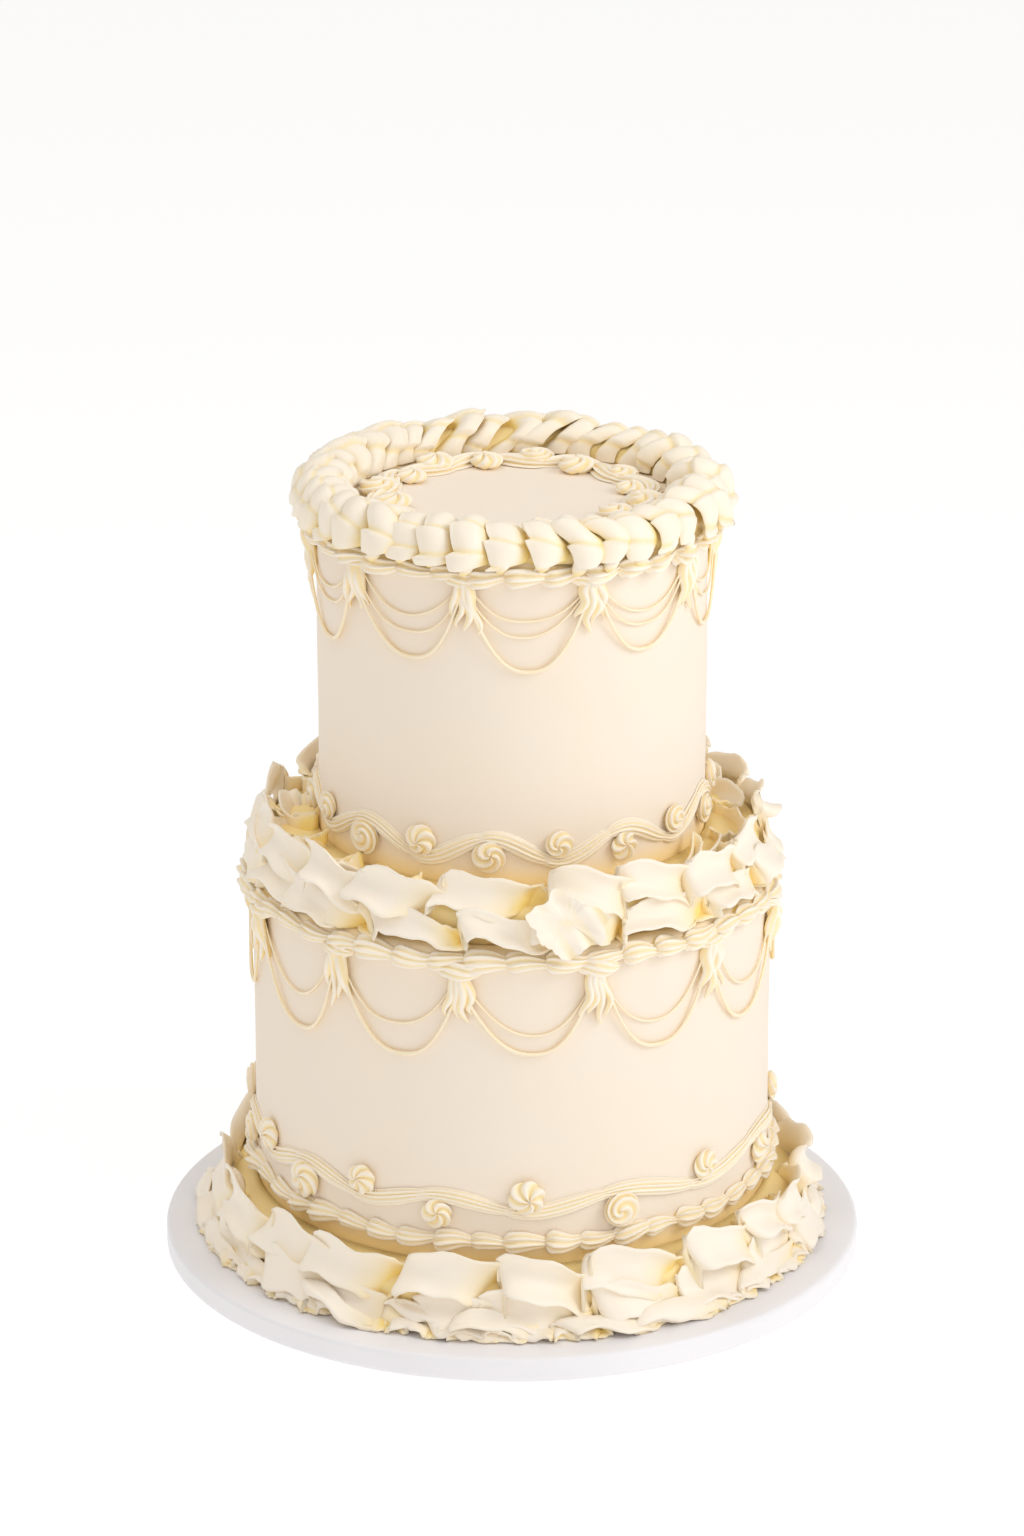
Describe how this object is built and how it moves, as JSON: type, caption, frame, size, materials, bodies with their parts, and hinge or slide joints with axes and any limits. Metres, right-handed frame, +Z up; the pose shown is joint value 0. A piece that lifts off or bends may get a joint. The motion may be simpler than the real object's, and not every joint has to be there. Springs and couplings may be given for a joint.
{
  "type": "buttercream cake",
  "caption": "Tiered round buttercream cake with piped ruffles, shell borders, scrolls, rosettes, drop strings, tassels and a leaf, standing on its round white board.",
  "frame": {"origin": "centre of the board's underside", "axes": "+Z up through both tiers, -Y towards the side that the picture shows, +X to its right"},
  "size_m": [0.3048, 0.3048, 0.3554],
  "materials": {
    "board_white": "satin",
    "smooth_buttercream": "matte",
    "piped_buttercream": "satin"
  },
  "bodies": {
    "root": {"base_ruffle_inner": "piped_buttercream", "base_ruffle_middle": "piped_buttercream", "base_ruffle_outer": "piped_buttercream", "base_shells": "piped_buttercream", "board": "board_white", "crown_ruffle": "piped_buttercream", "leaf": "piped_buttercream", "ledge_ruffle_inner": "piped_buttercream", "ledge_ruffle_middle": "piped_buttercream", "ledge_ruffle_outer": "piped_buttercream", "lower_rim_shells": "piped_buttercream", "lower_scroll": "piped_buttercream", "lower_string_1": "piped_buttercream", "lower_string_2": "piped_buttercream", "lower_tassel_01": "piped_buttercream", "lower_tassel_02": "piped_buttercream", "lower_tassel_03": "piped_buttercream", "lower_tassel_04": "piped_buttercream", "lower_tassel_05": "piped_buttercream", "lower_tassel_06": "piped_buttercream", "lower_tassel_07": "piped_buttercream", "lower_tassel_08": "piped_buttercream", "lower_tassel_09": "piped_buttercream", "lower_tassel_10": "piped_buttercream", "lower_tassel_11": "piped_buttercream", "lower_tassel_12": "piped_buttercream", "lower_tier": "smooth_buttercream", "top_scroll": "piped_buttercream", "upper_rim_shells": "piped_buttercream", "upper_scroll": "piped_buttercream", "upper_string_1": "piped_buttercream", "upper_string_2": "piped_buttercream", "upper_string_3": "piped_buttercream", "upper_tassel_01": "piped_buttercream", "upper_tassel_02": "piped_buttercream", "upper_tassel_03": "piped_buttercream", "upper_tassel_04": "piped_buttercream", "upper_tassel_05": "piped_buttercream", "upper_tassel_06": "piped_buttercream", "upper_tassel_07": "piped_buttercream", "upper_tassel_08": "piped_buttercream", "upper_tassel_09": "piped_buttercream", "upper_tassel_10": "piped_buttercream", "upper_tier": "smooth_buttercream"}
  },
  "joints": []
}
